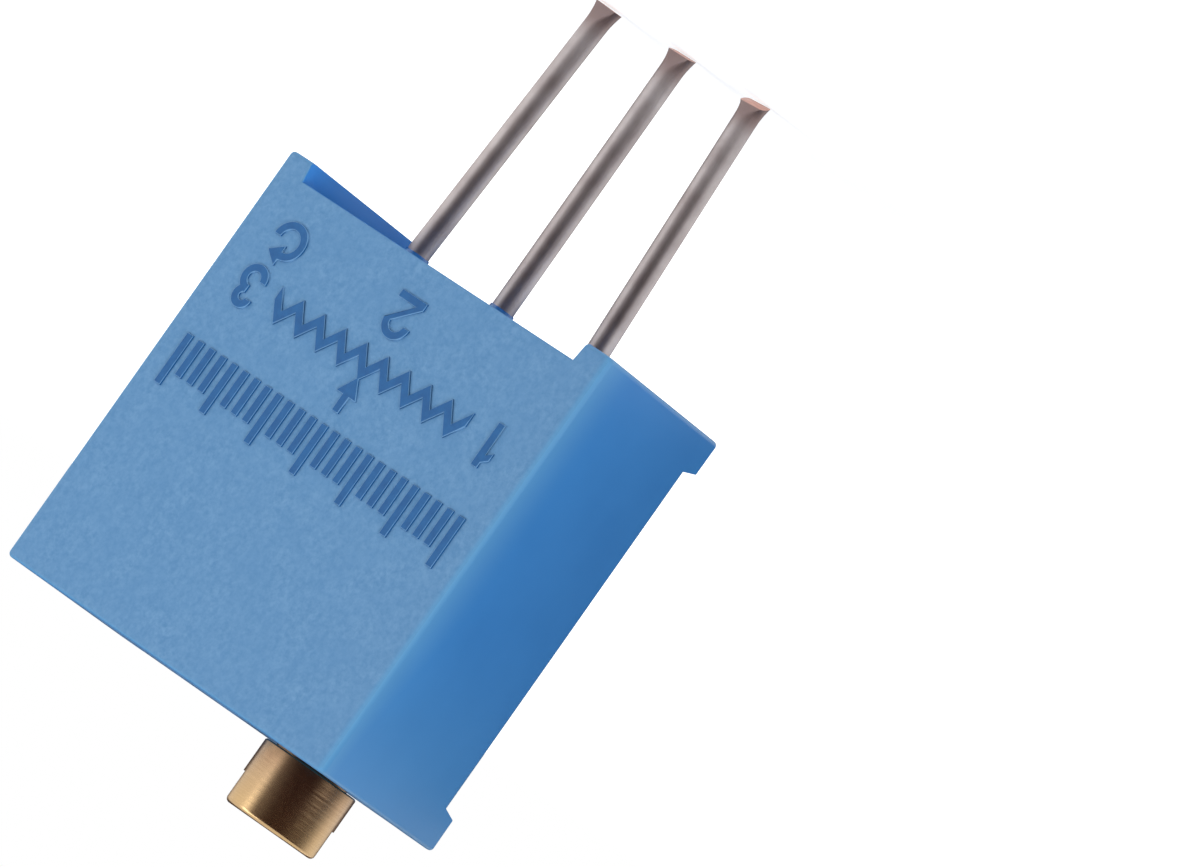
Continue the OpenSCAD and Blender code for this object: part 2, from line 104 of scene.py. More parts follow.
def make_object(name, skin, finishes=()):
    """The finished skin as an object in the scene, with its materials."""
    mesh = bpy.data.meshes.new(name)
    skin.to_mesh(mesh)
    skin.free()
    for finish in finishes:
        mesh.materials.append(finish)
    thing = bpy.data.objects.new(name, mesh)
    bpy.context.scene.collection.objects.link(thing)
    return thing


def make_piece(name, skin, finishes, body, nodes, smooth=35):
    """An object that rides on a body and stands for its CAD nodes."""
    piece = make_object(name, skin, finishes)
    piece.data.shade_smooth()
    piece.data.set_sharp_from_angle(angle=math.radians(smooth))
    flat = piece.modifiers.new("even shading on flat faces", "WEIGHTED_NORMAL")
    flat.keep_sharp = True
    flat.weight = 100
    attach(piece, body)
    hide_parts(*nodes)
    return piece


def mottle(finish, surface, size, dark, light, detail=3.0):
    """Drifts the colour between two shades, in patches of a size in millimetres."""
    place = add(finish, "ShaderNodeTexCoord", {}).outputs["Object"]
    patches = add(finish, "ShaderNodeTexNoise",
                  {"Vector": place, "Scale": 1 / (size * mm), "Detail": detail}).outputs["Fac"]
    tint = add(finish, "ShaderNodeMix",
               {"Factor": patches, "A": colour(dark), "B": colour(light)}, data_type="RGBA")
    feed(finish, tint.outputs["Result"], surface, "Base Color")


def relief(finish, surface, sizes, depth, strength, detail=2.0):
    """Fine relief, in grains of so many millimetres along x, y and z. Gives their pattern."""
    place = add(finish, "ShaderNodeTexCoord", {}).outputs["Object"]
    stretched = add(finish, "ShaderNodeMapping",
                    {"Vector": place, "Scale": [1 / (size * mm) for size in sizes]})
    grains = add(finish, "ShaderNodeTexNoise",
                 {"Vector": stretched.outputs["Vector"], "Scale": 1.0, "Detail": detail})
    bump = add(finish, "ShaderNodeBump", {"Strength": strength, "Distance": depth * mm,
                                          "Height": grains.outputs["Fac"]})
    feed(finish, bump.outputs["Normal"], surface, "Normal")
    return grains.outputs["Fac"]


def painted_edge_highlight(finish, face_colour, edge_colour):
    """Paints a paler highlight where a moulding's skin turns from one flat face to the next."""
    turn = add(finish, "ShaderNodeTexCoord", {}).outputs["Normal"]
    turn = add(finish, "ShaderNodeVectorMath", {0: turn}, operation="ABSOLUTE")
    turn = add(finish, "ShaderNodeSeparateXYZ", {0: turn.outputs["Vector"]})
    most = add(finish, "ShaderNodeMath", {0: turn.outputs["X"], 1: turn.outputs["Y"]},
               operation="MAXIMUM")
    most = add(finish, "ShaderNodeMath", {0: most.outputs["Value"], 1: turn.outputs["Z"]},
               operation="MAXIMUM")
    edge = add(finish, "ShaderNodeMapRange",
               {"Value": most.outputs["Value"], "From Min": 1.0, "From Max": 0.74,
                "To Min": 0.0, "To Max": 0.6}, interpolation_type="SMOOTHSTEP")
    return add(finish, "ShaderNodeMix",
               {"Factor": edge.outputs["Result"], "A": face_colour, "B": edge_colour},
               data_type="RGBA").outputs["Result"]


# Polyester off a polished mould: even satin, slightly wavy, with the pigment's full blue. Its
# edges are painted paler as a painted highlight. The sides are also painted paler towards the
# front edge, a painted highlight spreading back from the lit front, and pale a little towards
# the screw end.
# the pale blue of the painted highlights on the edges and near the front
painted_highlight_blue = colour("#5a9bcb")
polished_polyester, surface = start_finish("polished polyester", Roughness=0.42, IOR=1.57)
place = add(polished_polyester, "ShaderNodeTexCoord", {}).outputs["Object"]
flow = add(polished_polyester, "ShaderNodeTexNoise",
           {"Vector": place, "Scale": 1 / (1.6 * mm), "Detail": 2.0})
tint = add(polished_polyester, "ShaderNodeMix",
           {"Factor": flow.outputs["Fac"], "A": colour("#2476bd"), "B": colour("#3183ca")},
           data_type="RGBA")
spot = add(polished_polyester, "ShaderNodeSeparateXYZ", {0: place})
# painted highlight: the sides are painted paler near the front edge
painted_glow_and_end_paling = add(polished_polyester, "ShaderNodeMapRange",
            {"Value": spot.outputs["Y"], "From Min": (front_y + 1.2) * mm,
             "From Max": front_y * mm, "To Max": 0.9})
painted_glow_and_end_paling = add(polished_polyester, "ShaderNodeMath", {0: painted_glow_and_end_paling.outputs["Result"], 1: 1.6},
            operation="POWER")
across = add(polished_polyester, "ShaderNodeMath", {0: spot.outputs["X"]}, operation="ABSOLUTE")
on_sides = add(polished_polyester, "ShaderNodeMapRange",
               {"Value": across.outputs["Value"], "From Min": 4.3 * mm, "From Max": 4.6 * mm})
painted_glow_and_end_paling = add(polished_polyester, "ShaderNodeMath",
            {0: painted_glow_and_end_paling.outputs["Value"], 1: on_sides.outputs["Result"]}, operation="MULTIPLY")
blush = add(polished_polyester, "ShaderNodeMapRange",
            {"Value": spot.outputs["Z"], "From Min": 5.5 * mm, "From Max": body_h * mm,
             "To Max": 0.35}, interpolation_type="SMOOTHSTEP")
painted_glow_and_end_paling = add(polished_polyester, "ShaderNodeMath",
            {0: painted_glow_and_end_paling.outputs["Value"], 1: blush.outputs["Result"]}, operation="MAXIMUM")
tint = add(polished_polyester, "ShaderNodeMix",
           {"Factor": painted_glow_and_end_paling.outputs["Value"], "A": tint.outputs["Result"], "B": painted_highlight_blue},
           data_type="RGBA")
feed(polished_polyester, painted_edge_highlight(polished_polyester, tint.outputs["Result"], painted_highlight_blue),
     surface, "Base Color")
relief(polished_polyester, surface, (0.35, 0.35, 0.35), depth=0.002, strength=0.5, detail=3.0)

# Polyester off a spark-eroded mould: overlapping shallow craters about 0.05 mm across, drawn a
# little coarser here, scatter the light; the paler blue that this gives is painted into the
# colour as a painted sheen.
eroded_polyester_painted_sheen, surface = start_finish("spark-eroded polyester with painted sheen", Roughness=0.7, IOR=1.57)
place = add(eroded_polyester_painted_sheen, "ShaderNodeTexCoord", {}).outputs["Object"]
craters = add(eroded_polyester_painted_sheen, "ShaderNodeTexNoise",
              {"Vector": place, "Scale": 1 / (0.13 * mm), "Detail": 4.0, "Roughness": 0.65})
clouds = add(eroded_polyester_painted_sheen, "ShaderNodeTexNoise",
             {"Vector": place, "Scale": 1 / (0.7 * mm), "Detail": 3.0})
specks = add(eroded_polyester_painted_sheen, "ShaderNodeMapRange",
             {"Value": craters.outputs["Fac"], "From Min": 0.34, "From Max": 0.66})
pale = add(eroded_polyester_painted_sheen, "ShaderNodeMix",
           {"Factor": specks.outputs["Result"], "A": colour("#4c80ae"), "B": colour("#6b98c1")},
           data_type="RGBA")
patch = add(eroded_polyester_painted_sheen, "ShaderNodeMix",
            {"Factor": clouds.outputs["Fac"], "A": colour("#5386b4"),
             "B": pale.outputs["Result"]}, data_type="RGBA")
feed(eroded_polyester_painted_sheen, painted_edge_highlight(eroded_polyester_painted_sheen, patch.outputs["Result"], painted_highlight_blue),
     surface, "Base Color")
bump = add(eroded_polyester_painted_sheen, "ShaderNodeBump",
           {"Strength": 0.8, "Distance": 0.016 * mm, "Height": craters.outputs["Fac"]})
feed(eroded_polyester_painted_sheen, bump.outputs["Normal"], surface, "Normal")

# The marks were cut in the mould with a round cutter. Their tops are painted a deep, dark blue
# as painted shade, and their rims paler as a painted highlight.
mark_polyester_painted_shade, surface = start_finish("mark polyester with painted shade", Roughness=0.5, IOR=1.57,
                                         Specular_IOR_Level=0.3)
place = add(mark_polyester_painted_shade, "ShaderNodeTexCoord", {}).outputs["Object"]
cutter = add(mark_polyester_painted_shade, "ShaderNodeTexNoise",
             {"Vector": place, "Scale": 1 / (0.2 * mm), "Detail": 2.0})
tint = add(mark_polyester_painted_shade, "ShaderNodeMix",
           {"Factor": cutter.outputs["Fac"], "A": colour("#0f4c84"), "B": colour("#1f639d")},
           data_type="RGBA")
feed(mark_polyester_painted_shade,
     painted_edge_highlight(mark_polyester_painted_shade, tint.outputs["Result"], colour("#8abbe4")),
     surface, "Base Color")

# Between the seating rails the flanks are painted a cleaner and fuller blue: painted light, for
# how they are lit there.
rail_gap_polyester_painted_light, surface = start_finish("rail-gap polyester with painted light", Roughness=0.42, IOR=1.57,
                                            Specular_IOR_Level=0.3)
mottle(rail_gap_polyester_painted_light, surface, 1.6, "#1a7acc", "#2885d6", detail=2.0)

shell = cad_copy("housing")


def folds(skin, least=40):
    """The outward edges of a skin that turn by more than some degrees."""
    return [e for e in skin.edges
            if len(e.link_faces) == 2 and e.is_convex
            and e.calc_face_angle() > math.radians(least)]


# a corner this near to a face counts as on it
near = 0.01
rail_gap_x = 4.10
foot_slopes = (0.7, 9.4)


def on_side(corner):
    return abs(corner.co.x) > (side_x - near) * mm


def outside(corner):
    """True on the outer faces, the rails and the feet, and false in the cavity."""
    return (on_side(corner)
            or not (front_y + near) * mm <= corner.co.y <= (back_y - near) * mm
            or not (rail_h + near) * mm <= corner.co.z <= (body_h - near) * mm)


def on_marks(corner):
    return corner.co.y < (front_y - near) * mm


def in_rail_gap(corner):
    return abs(corner.co.x) < rail_gap_x * mm and corner.co.z < (rail_h + near) * mm


def foot_slope_on_side(corner):
    """True on a foot's slope where it meets the side. The body's own rounding runs out there."""
    return on_side(corner) and foot_slopes[0] * mm < corner.co.z < foot_slopes[1] * mm


def round_edges(skin, edges, size, segments):
    bmesh.ops.bevel(skin, geom=edges, offset=size * mm, offset_type="OFFSET", segments=segments,
                    profile=0.5, affect="EDGES", clamp_overlap=False, material=-1)


tumbled = [e for e in folds(shell) if all(outside(v) and not on_marks(v) for v in e.verts)
           and not all(in_rail_gap(v) for v in e.verts)
           and not all(foot_slope_on_side(v) for v in e.verts)]
round_edges(shell, tumbled, edge_round, 4)
sheltered = [e for e in folds(shell) if all(outside(v) and in_rail_gap(v) for v in e.verts)]
round_edges(shell, sheltered, gap_round, 2)
marks = [e for e in folds(shell) if all(on_marks(v) for v in e.verts)]
round_edges(shell, marks, mark_round, 3)
bmesh.ops.dissolve_degenerate(shell, dist=fine_gap * mm, edges=shell.edges)
# places in the housing's list of finishes, after the polished one at 0
eroded_sheen_slot, shaded_mark_slot, charred_slot, rail_gap_painted_slot = 1, 2, 3, 4
mark_foot = 0.003
faces_front = -0.7
for face in shell.faces:
    middle = face.calc_center_median()
    # marks: painted shade on their tops
    if middle.y < (front_y - mark_foot) * mm:
        face.material_index = shaded_mark_slot
    # front faces: eroded, with painted sheen
    elif face.normal.y < faces_front and middle.y < (front_y + edge_round) * mm:
        face.material_index = eroded_sheen_slot
    # rail gap: painted light
    elif all(in_rail_gap(v) for v in face.verts):
        face.material_index = rail_gap_painted_slot

# Four plain figures across the screw end, burnt into the skin by a marking laser, which chars
# the blue to a slate grey and leaves it a hair proud.
charred_polyester, surface = start_finish("laser-charred polyester", Roughness=0.65, IOR=1.57)
mottle(charred_polyester, surface, 0.07, "#2b3f57", "#57738f")

figure_size = 2.2
figure_relief = 0.006
thinning = 0.03
foot_line_y = 0.43
narrowing = 0.8
for figure, x in zip("0123", (-1.265, 0.485, 2.085, 3.585)):
    letter = bpy.data.curves.new("figure", "FONT")
    letter.body = figure
    letter.size = figure_size
    letter.align_x = "CENTER"
    letter.offset = -thinning
    letter.extrude = figure_relief
    letter.resolution_u = 8
    holder = bpy.data.objects.new("figure", letter)
    bpy.context.scene.collection.objects.link(holder)
    bpy.context.view_layer.update()
    burnt = bpy.data.meshes.new_from_object(
        holder.evaluated_get(bpy.context.evaluated_depsgraph_get()))
    bpy.data.objects.remove(holder)
    bpy.data.curves.remove(letter)
    if figure == "2":
        # thinning its strokes leaves a spur at the heel, which goes back to the foot line
        for corner in burnt.vertices:
            corner.co.y = max(corner.co.y, thinning)
    burnt.transform(Matrix.Diagonal((mm, mm, mm, 1))
                    @ Matrix.Translation((x, foot_line_y, body_h))
                    @ Matrix.Rotation(math.pi, 4, "Z")
                    @ Matrix.Diagonal((narrowing, 1, 1, 1)))
    for polygon in burnt.polygons:
        polygon.material_index = charred_slot
    shell.from_mesh(burnt)
    bpy.data.meshes.remove(burnt)
bmesh.ops.remove_doubles(shell, verts=shell.verts, dist=fine_gap * mm)
housing = make_piece("housing_moulding", shell,
                     [polished_polyester, eroded_polyester_painted_sheen, mark_polyester_painted_shade,
                      charred_polyester, rail_gap_polyester_painted_light], "body", ["housing"])
# a face that looks this straight along an axis is one of the flat ones
squarely = 0.999
for polygon in housing.data.polygons:
    if polygon.normal.y < -squarely or polygon.material_index == charred_slot:
        polygon.use_smooth = False

# ---------------------------------------------------------------- adjusting screw
# Turned from free-cutting brass rod on an automatic lathe, with a rolled thread and a sawn
# slot. It has aged in stock and is brown in the hollows. Round the base of the head it is
# painted dark, partly tarnish and partly a painted reflection of the shaded housing.

screw_x = -3.495
screw_y = -1.15
head_d = 2.19
head_top = 11.55
head_low = 10.06
head_round = 0.10
head_chamfer = 0.03
journal_d = 1.70
groove_d = 0.90
seal_groove = (9.10, 9.53)
clip_groove = (8.28, 8.62)
core_r = 0.53
shank_low = 1.82
shank_chamfer = 0.08
thread_d = 1.30
thread_pitch = 0.20
slot_w = 0.56
slot_depth = 0.70
slot_angle = -36

# The tool's fine feed lines run round the faces and the head. They are about 0.04 mm apart, and
# are drawn twice as coarse, because closer ones turn to false rings.
turned_brass, surface = start_finish("turned brass, aged", Metallic=1.0)
place = add(turned_brass, "ShaderNodeTexCoord", {}).outputs["Object"]
centred = add(turned_brass, "ShaderNodeMapping",
              {"Vector": place, "Location": (-screw_x * mm, -screw_y * mm, 0)})
flat = add(turned_brass, "ShaderNodeVectorMath",
           {0: centred.outputs["Vector"], 1: (1, 1, 0)}, operation="MULTIPLY")
radius = add(turned_brass, "ShaderNodeVectorMath", {0: flat.outputs["Vector"]},
             operation="LENGTH")
height = add(turned_brass, "ShaderNodeSeparateXYZ", {0: place})
run = add(turned_brass, "ShaderNodeMath",
          {0: radius.outputs["Value"], 1: height.outputs["Z"]}, operation="ADD")
tool_marks = add(turned_brass, "ShaderNodeTexNoise",
                 {"W": run.outputs["Value"], "Scale": 1 / (0.09 * mm), "Detail": 1.0},
                 noise_dimensions="1D")
age = add(turned_brass, "ShaderNodeTexNoise",
          {"Vector": place, "Scale": 1 / (0.7 * mm), "Detail": 4.0})
up_screw = add(turned_brass, "ShaderNodeMapRange",
               {"Value": height.outputs["Z"], "From Min": 9.5 * mm, "From Max": head_top * mm})
tarnish_and_painted_shade = add(turned_brass, "ShaderNodeValToRGB", {"Fac": up_screw.outputs["Result"]})
stops = tarnish_and_painted_shade.color_ramp.elements
stops[0].color, stops[-1].color = colour("#c6a577"), colour("#d9b67e")
# the dark stops round the base of the head are partly tarnish and partly painted shade
for spot, shade in ((0.20, "#8d6a50"), (0.29, "#563a30"), (0.40, "#8e6e57"), (0.60, "#b89a76")):
    stops.new(spot).color = colour(shade)
tint = add(turned_brass, "ShaderNodeMix",
           {"Factor": age.outputs["Fac"], "A": tarnish_and_painted_shade.outputs["Color"],
            "B": colour("#c7a883")}, data_type="RGBA")
feed(turned_brass, tint.outputs["Result"], surface, "Base Color")
rough = add(turned_brass, "ShaderNodeMapRange",
            {"Value": age.outputs["Fac"], "To Min": 0.30, "To Max": 0.20})
feed(turned_brass, rough.outputs["Result"], surface, "Roughness")
bump = add(turned_brass, "ShaderNodeBump",
           {"Strength": 0.35, "Distance": 0.005 * mm, "Height": tool_marks.outputs["Fac"]})
feed(turned_brass, bump.outputs["Normal"], surface, "Normal")

screw = bmesh.new()
half_section = [(0, shank_low), (core_r - shank_chamfer, shank_low),
                (core_r, shank_low + shank_chamfer), (core_r, clip_groove[0]),
                (groove_d / 2, clip_groove[0]), (groove_d / 2, clip_groove[1]),
                (journal_d / 2, clip_groove[1]), (journal_d / 2, seal_groove[0]),
                (groove_d / 2, seal_groove[0]), (groove_d / 2, seal_groove[1]),
                (journal_d / 2, seal_groove[1]), (journal_d / 2, head_low),
                (head_d / 2 - head_chamfer, head_low), (head_d / 2, head_low + head_chamfer)]
half_section += [(head_d / 2 - head_round * (1 - math.cos(math.radians(15 * k))),
                  head_top - head_round * (1 - math.sin(math.radians(15 * k))))
                 for k in range(7)]
half_section.append((0, head_top))
outline = [screw.verts.new((r, 0, z)) for r, z in half_section]
edges = [screw.edges.new(pair) for pair in zip(outline, outline[1:])]
bmesh.ops.spin(screw, geom=edges, cent=(0, 0, 0), axis=(0, 0, 1), angle=2 * math.pi, steps=96,
               use_merge=True)
bmesh.ops.remove_doubles(screw, verts=screw.verts, dist=merge_gap)
bmesh.ops.recalc_face_normals(screw, faces=screw.faces)
screw_blank = make_object("screw_blank", screw)

# the saw that cuts the slot, taken away again once it has cut
saw = bmesh.new()
bmesh.ops.create_cube(saw, size=1)
bmesh.ops.scale(saw, vec=(2 * head_d, slot_w, 2 * slot_depth), verts=saw.verts)
bmesh.ops.rotate(saw, verts=saw.verts, cent=(0, 0, 0),
                 matrix=Matrix.Rotation(math.radians(slot_angle), 3, "Z"))
bmesh.ops.translate(saw, vec=(0, 0, head_top), verts=saw.verts)
saw_blade = make_object("saw_blade", saw)
cutting = screw_blank.modifiers.new("slot", "BOOLEAN")
cutting.operation = "DIFFERENCE"
cutting.object = saw_blade
cutting.solver = "EXACT"
bpy.context.view_layer.update()
sawn = screw_blank.evaluated_get(bpy.context.evaluated_depsgraph_get())
screw = bmesh.new()
screw.from_mesh(sawn.to_mesh())
sawn.to_mesh_clear()
bpy.data.objects.remove(screw_blank)
bpy.data.objects.remove(saw_blade)
bmesh.ops.remove_doubles(screw, verts=screw.verts, dist=merge_gap)
broken_edge = 0.02
slot_edges = [e for e in folds(screw, 30)
              if all(v.co.z > head_top - slot_depth + broken_edge for v in e.verts)]
bmesh.ops.bevel(screw, geom=slot_edges, offset=broken_edge, offset_type="OFFSET", segments=2,
                profile=0.5, affect="EDGES", clamp_overlap=True, material=-1)


def take_in(skin, extra):
    """Adds a second skin to a first, and frees the second."""
    part = bpy.data.meshes.new("part")
    extra.to_mesh(part)
    extra.free()
    skin.from_mesh(part)
    bpy.data.meshes.remove(part)


# rolled thread: a ridge wound up the shank, with its root sunk in the core
root_r = 0.50
root_half = 0.085
crest_half = 0.018
turns = 31
steps_a_turn = 28
first_turn_z = 2.0
ridge = bmesh.new()
corners = [ridge.verts.new(c) for c in ((root_r, 0, -root_half), (thread_d / 2, 0, -crest_half),
                                        (thread_d / 2, 0, crest_half), (root_r, 0, root_half))]
bmesh.ops.contextual_create(ridge, geom=corners)
bmesh.ops.spin(ridge, geom=ridge.faces[:] + ridge.edges[:] + ridge.verts[:], cent=(0, 0, 0),
               axis=(0, 0, 1), dvec=(0, 0, thread_pitch / steps_a_turn),
               angle=2 * math.pi * turns, steps=steps_a_turn * turns)
bmesh.ops.translate(ridge, vec=(0, 0, first_turn_z), verts=ridge.verts)
bmesh.ops.remove_doubles(ridge, verts=ridge.verts, dist=merge_gap)
bmesh.ops.recalc_face_normals(ridge, faces=ridge.faces)
take_in(screw, ridge)
bmesh.ops.translate(screw, vec=(screw_x, screw_y, 0), verts=screw.verts)
bmesh.ops.scale(screw, vec=(mm, mm, mm), verts=screw.verts)
screw_piece = make_piece("adjusting_screw_turned", screw, [turned_brass], "screw",
                         ["adjusting_screw"], smooth=30)
dead_level = 0.9999
for polygon in screw_piece.data.polygons:
    if polygon.normal.z > dead_level:
        polygon.use_smooth = False

# ---------------------------------------------------------------- o-ring
# Moulded silicone rubber ring that keeps the washing water out. It was stretched over the screw
# into its upper groove, and the housing's bore holds it there.
moulded_rubber, surface = start_finish("moulded silicone rubber", Roughness=0.6, IOR=1.41)
mottle(moulded_rubber, surface, 0.15, "#1b1b1c", "#343436")

bore_d = 1.80
ring_thick = 0.416
ring_r = (bore_d / 2 + groove_d / 2) / 2
seal_z = sum(seal_groove) / 2
rubber = bmesh.new()
section = bmesh.ops.create_circle(rubber, cap_ends=False, radius=ring_thick / 2,
                                  segments=20)["verts"]
bmesh.ops.rotate(rubber, verts=section, cent=(0, 0, 0),
                 matrix=Matrix.Rotation(math.pi / 2, 3, "X"))
bmesh.ops.translate(rubber, verts=section, vec=(ring_r, 0, 0))
bmesh.ops.spin(rubber, geom=rubber.edges[:], cent=(0, 0, 0), axis=(0, 0, 1),
               angle=2 * math.pi, steps=64, use_merge=True)
bmesh.ops.remove_doubles(rubber, verts=rubber.verts, dist=merge_gap)
bmesh.ops.recalc_face_normals(rubber, faces=rubber.faces)
bmesh.ops.translate(rubber, vec=(screw_x, screw_y, seal_z), verts=rubber.verts)
bmesh.ops.scale(rubber, vec=(mm, mm, mm), verts=rubber.verts)
make_piece("seal_ring", rubber, [moulded_rubber], "screw", ["o_ring"])

# ---------------------------------------------------------------- screw retainer
# Forked plate stamped from stainless strip and pressed into the screw's lower groove from the
# side, so that the screw can turn but not come out. The rolling lines run along the strip.


def dress(node, finish):
    """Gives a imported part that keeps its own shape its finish."""
    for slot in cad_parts[node].material_slots:
        slot.material = finish


stamped_steel, surface = start_finish("stamped stainless steel", Metallic=1.0, Roughness=0.34)
mottle(stamped_steel, surface, 0.5, "#8d9092", "#b9bcbe")
relief(stamped_steel, surface, (2, 0.05, 0.05), depth=0.003, strength=0.4)
dress("screw_retainer", stamped_steel)

# ---------------------------------------------------------------- carriage
# Nut block moulded in natural glass-filled nylon. Its half nut rides on the screw's thread, and
# it carries the wiper along the tracks. The glass shows as short fibres in the skin.
filled_nylon, surface = start_finish("glass-filled nylon", Roughness=0.5, IOR=1.53)
mottle(filled_nylon, surface, 0.6, "#d3c9b2", "#ece5d3")
relief(filled_nylon, surface, (0.25, 0.03, 0.03), depth=0.004, strength=0.5)
dress("carriage", filled_nylon)

# ---------------------------------------------------------------- wiper
# Spring contact etched from thin palladium-silver strip and heat-staked to the carriage.
# Three fingers rest on each track. The strip is bright, with faint rolling lines.
contact_strip, surface = start_finish("palladium-silver strip", Metallic=1.0, Roughness=0.24)
mottle(contact_strip, surface, 0.4, "#aea89d", "#dad5ca")
relief(contact_strip, surface, (0.04, 0.04, 1), depth=0.002, strength=0.4)
dress("wiper", contact_strip)

# ---------------------------------------------------------------- substrate
# Plate of 96 per cent alumina, pressed as a tape, fired, and laser-scored so that it snaps out
# of its sheet. It is off-white and finely grained, and its grain is drawn four times coarser.
fired_alumina, surface = start_finish("fired alumina", Roughness=0.62, IOR=1.76)
mottle(fired_alumina, surface, 0.9, "#e3ddd0", "#f3efe7")
relief(fired_alumina, surface, (0.04, 0.04, 0.04), depth=0.004, strength=0.5, detail=3.0)
dress("substrate", fired_alumina)

# ---------------------------------------------------------------- tracks and conductors
# Inks printed on the plate through a wire mesh and fired one after another: silver pads and
# runs first, then the resistance track and the collector track that the wiper slides on.
mesh_pitch = 0.08


def cells(finish, surface, size, unevenness, depth, strength):
    """Relief in rounded cells of a size in millimetres, from an even grid to a random one."""
    place = add(finish, "ShaderNodeTexCoord", {}).outputs["Object"]
    bulges = add(finish, "ShaderNodeTexVoronoi",
                 {"Vector": place, "Scale": 1 / (size * mm), "Randomness": unevenness})
    bump = add(finish, "ShaderNodeBump", {"Strength": strength, "Distance": depth * mm,
                                          "Height": bulges.outputs["Distance"]})
    feed(finish, bump.outputs["Normal"], surface, "Normal")


def mesh_print(finish, surface):
    """The even pimples that the screen's mesh leaves in a printed film."""
    cells(finish, surface, mesh_pitch, unevenness=0.15, depth=0.003, strength=0.5)


# Ruthenium glass cermet is almost black and fires to a gloss.
cermet_film, surface = start_finish("fired cermet film", Roughness=0.28, IOR=1.6)
mottle(cermet_film, surface, 0.25, "#151617", "#2f2d2b", detail=5.0)
mesh_print(cermet_film, surface)
dress("resistance_track", cermet_film)

# Palladium-silver film fires to a dull steel grey.
collector_film, surface = start_finish("fired palladium-silver film", Metallic=1.0,
                                       Roughness=0.42)
mottle(collector_film, surface, 0.3, "#96958f", "#bdbab3")
mesh_print(collector_film, surface)
dress("collector_track", collector_film)

# Plain silver film fires to a whiter satin, and yellows a little in the air.
silver_film, surface = start_finish("fired silver film", Metallic=1.0, Roughness=0.48)
mottle(silver_film, surface, 0.5, "#c9bda2", "#e6e2da")
mesh_print(silver_film, surface)
for number in (1, 2, 3):
    dress(f"conductor_{number}", silver_film)

# ---------------------------------------------------------------- leads
# Drawn copper wire, hot-dipped in tin, rolled flat at the inner end and cropped off a strip at
# the other. The crop spreads the wire one way, pinches it the other and bruises the tin brown.

lead_pitch = 2.54
lead_d = 0.51
lead_l = 6.10
lead_lean = 3.3
bend_z = 0.15
inner_z = 0.60
inner_top = 1.60
inner_w = 0.44
inner_y = (-0.005, 0.255)
inner_slim = 0.005
roll_step = 0.04
tip_l = 0.45
tip_w = 0.68
tip_t = 0.26

tinned_copper, surface = start_finish("tinned copper wire", Metallic=1.0, Roughness=0.47)
relief(tinned_copper, surface, (0.11, 0.11, 4), depth=0.003, strength=0.25)
place = add(tinned_copper, "ShaderNodeTexCoord", {}).outputs["Object"]
dull = add(tinned_copper, "ShaderNodeTexNoise",
           {"Vector": place, "Scale": 1 / (0.6 * mm), "Detail": 3.0})
tint = add(tinned_copper, "ShaderNodeMix",
           {"Factor": dull.outputs["Fac"], "A": colour("#938685"), "B": colour("#cac3c2")},
           data_type="RGBA")
down = add(tinned_copper, "ShaderNodeSeparateXYZ", {0: place})
bruise = add(tinned_copper, "ShaderNodeMapRange",
             {"Value": down.outputs["Z"], "From Min": -5.2 * mm, "From Max": -5.8 * mm,
              "To Max": 0.7}, interpolation_type="SMOOTHSTEP")
tint = add(tinned_copper, "ShaderNodeMix",
           {"Factor": bruise.outputs["Result"], "A": tint.outputs["Result"],
            "B": colour("#7d645f")}, data_type="RGBA")
feed(tinned_copper, tint.outputs["Result"], surface, "Base Color")

# The crop bares the copper, which tarnishes to a pinkish brown with bright tear lines.
cropped_copper, surface = start_finish("cropped copper", Metallic=1.0, Roughness=0.38)
tears = relief(cropped_copper, surface, (0.3, 0.04, 0.3), depth=0.006, strength=0.7)
tint = add(cropped_copper, "ShaderNodeMix",
           {"Factor": tears, "A": colour("#a8786a"), "B": colour("#dcbab0")},
           data_type="RGBA")
feed(cropped_copper, tint.outputs["Result"], surface, "Base Color")


def press(verts, wide, low, high):
    """Flattens part of a wire between two jaws: x within +-wide, y between low and high."""
    for v in verts:
        v.co.x = min(max(v.co.x, -wide), wide)
        v.co.y = min(max(v.co.y, low), high)


def draw_on(wire, edges, height):
    """Extends a wire's open end to a height, and gives the new ring."""
    grown = bmesh.ops.extrude_edge_only(wire, edges=edges)["geom"]
    verts = [g for g in grown if isinstance(g, bmesh.types.BMVert)]
    for v in verts:
        v.co.z = height
    return verts, [g for g in grown if isinstance(g, bmesh.types.BMEdge)
                   and all(w in verts for w in g.verts)]


